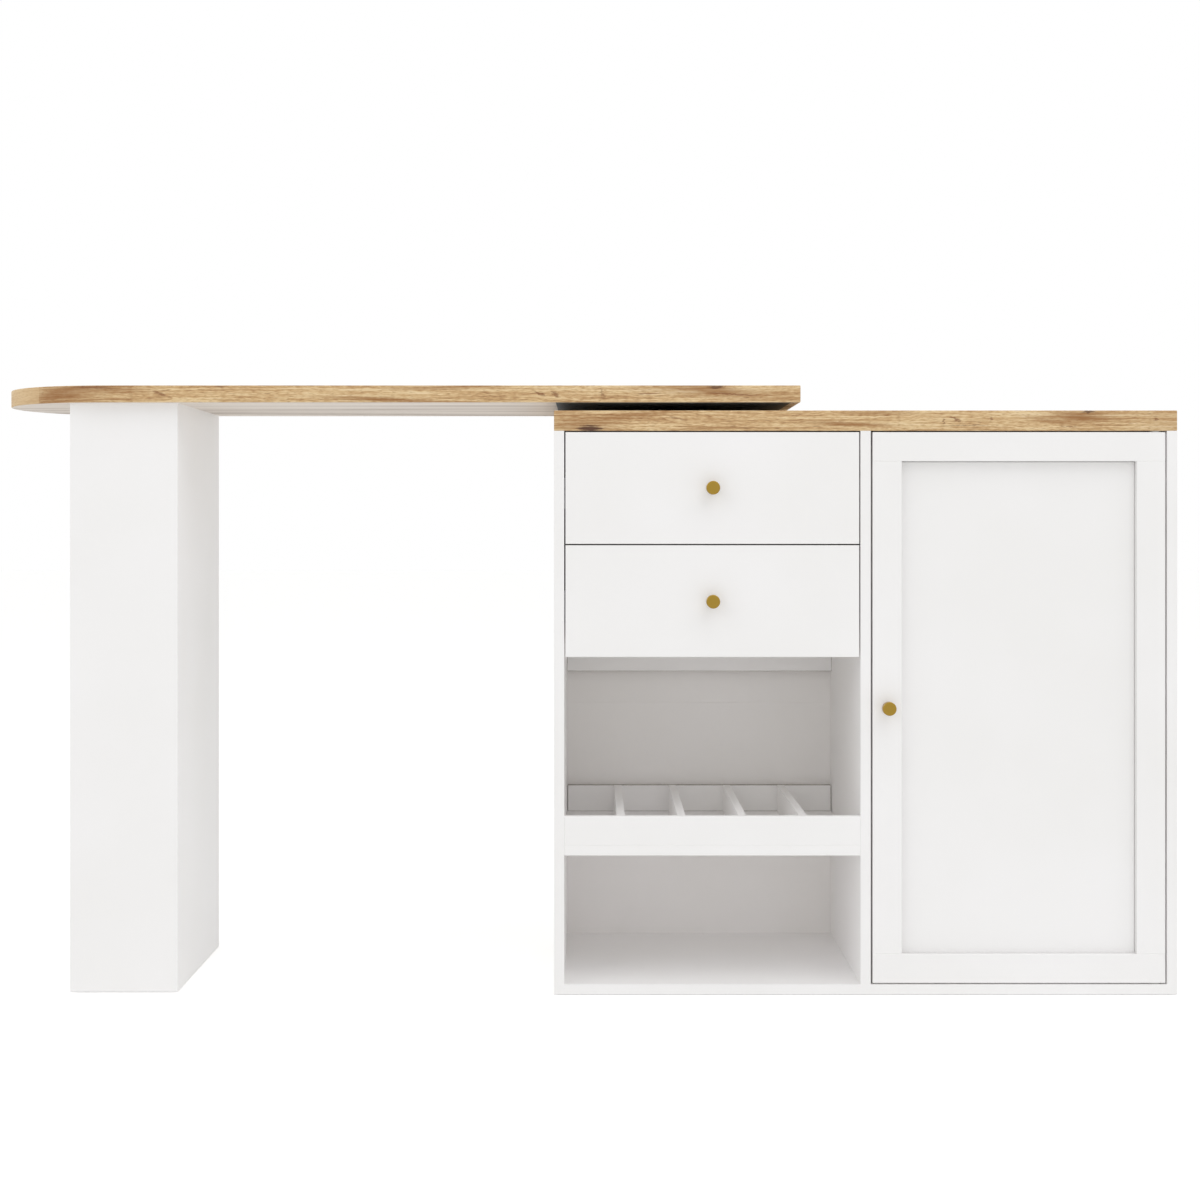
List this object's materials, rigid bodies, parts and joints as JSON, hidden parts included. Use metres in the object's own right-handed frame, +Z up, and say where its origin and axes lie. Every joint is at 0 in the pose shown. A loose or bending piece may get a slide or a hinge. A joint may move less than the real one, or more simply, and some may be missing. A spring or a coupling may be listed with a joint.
{
  "type": "rotating bar table",
  "caption": "White storage cabinet with drawers, wine rack and framed door under an oak-grain worktop, which carries a swivelling oak-grain bar top on a box leg.",
  "frame": {"origin": "on the floor, under the middle of the whole table at rest", "axes": "+X along the table from the leg to the cabinet's door end, +Y from the front to the back, +Z up"},
  "size_m": [1.766, 0.405, 0.9],
  "materials": {
    "white_laminate": "warm white melamine on board, smooth satin",
    "white_fibreboard": "white painted hardboard, satin",
    "oak_laminate": "rustic oak grain laminate, matt",
    "brass": "satin brass",
    "black_steel": "black powder coat",
    "zinc_steel": "bright zinc plate",
    "nylon": "black moulded nylon",
    "felt": "grey pressed felt"
  },
  "bodies": {
    "cabinet": {"left_side_panel": "white_laminate", "right_side_panel": "white_laminate", "bottom_panel": "white_laminate", "centre_divider": "white_laminate", "worktop": "oak_laminate", "upper_back_board": "white_fibreboard", "lower_back_board": "white_fibreboard", "rear_stretcher": "white_laminate", "wine_shelf": "white_laminate", "wine_front_rail": "white_laminate", "wine_rear_rail": "white_laminate", "wine_divider_1": "white_laminate", "wine_divider_2": "white_laminate", "wine_divider_3": "white_laminate", "wine_divider_4": "white_laminate", "cupboard_shelf": "white_laminate", "shelf_pins": "zinc_steel", "cabinet_floor_pads": "felt", "door_pivot_bushes": "nylon", "magnetic_catch": "nylon", "swivel_lower_flange": "black_steel", "swivel_bush": "nylon", "swivel_thrust_washer": "nylon", "swivel_lower_screws": "zinc_steel", "upper_runner_cabinet_members": "zinc_steel", "lower_runner_cabinet_members": "zinc_steel"},
    "bar": {"bar_top": "oak_laminate", "swivel_upper_flange": "black_steel", "swivel_spindle": "zinc_steel", "spindle_nut": "zinc_steel", "swivel_upper_screws": "zinc_steel", "leg_front_panel": "white_laminate", "leg_rear_panel": "white_laminate", "leg_inner_panel": "white_laminate", "leg_outer_panel": "white_laminate", "leg_top_plate": "white_laminate", "leg_bottom_plate": "white_laminate", "leg_floor_pads": "felt"},
    "upper_drawer": {"upper_drawer_front": "white_laminate", "upper_drawer_sides": "white_laminate", "upper_drawer_back": "white_laminate", "upper_drawer_bottom": "white_fibreboard", "upper_drawer_knob": "brass", "upper_runner_drawer_members": "zinc_steel"},
    "upper_runner_middle": {"upper_runner_middle_members": "zinc_steel"},
    "lower_drawer": {"lower_drawer_front": "white_laminate", "lower_drawer_sides": "white_laminate", "lower_drawer_back": "white_laminate", "lower_drawer_bottom": "white_fibreboard", "lower_drawer_knob": "brass", "lower_runner_drawer_members": "zinc_steel"},
    "lower_runner_middle": {"lower_runner_middle_members": "zinc_steel"},
    "door": {"door_top_rail": "white_laminate", "door_bottom_rail": "white_laminate", "door_knob_stile": "white_laminate", "door_hinge_stile": "white_laminate", "door_panel": "white_laminate", "door_knob": "brass", "door_pivot_pins": "zinc_steel", "catch_strike": "zinc_steel"}
  },
  "joints": [
    {"name": "bar_swivel", "type": "hinge", "parent": "cabinet", "child": "bar", "pos_m": [0.158, 0.0025, 0.863], "axis": [0, 0, 1], "range_deg": [0, 180]},
    {"name": "upper_drawer_slide", "type": "slide", "parent": "cabinet", "child": "upper_drawer", "axis": [0, -1, 0], "range_m": [0, 0.3]},
    {"name": "upper_runner_slide", "type": "slide", "parent": "cabinet", "child": "upper_runner_middle", "axis": [0, -1, 0], "range_m": [0, 0.15]},
    {"name": "lower_drawer_slide", "type": "slide", "parent": "cabinet", "child": "lower_drawer", "axis": [0, -1, 0], "range_m": [0, 0.3]},
    {"name": "lower_runner_slide", "type": "slide", "parent": "cabinet", "child": "lower_runner_middle", "axis": [0, -1, 0], "range_m": [0, 0.15]},
    {"name": "door_swing", "type": "hinge", "parent": "cabinet", "child": "door", "pos_m": [0.852, -0.1685, 0.4245], "axis": [0, 0, 1], "range_deg": [0, 110]}
  ],
  "couplings": [
    {"joint": "upper_runner_slide", "follows": "upper_drawer_slide", "ratio": 0.5},
    {"joint": "lower_runner_slide", "follows": "lower_drawer_slide", "ratio": 0.5}
  ]
}
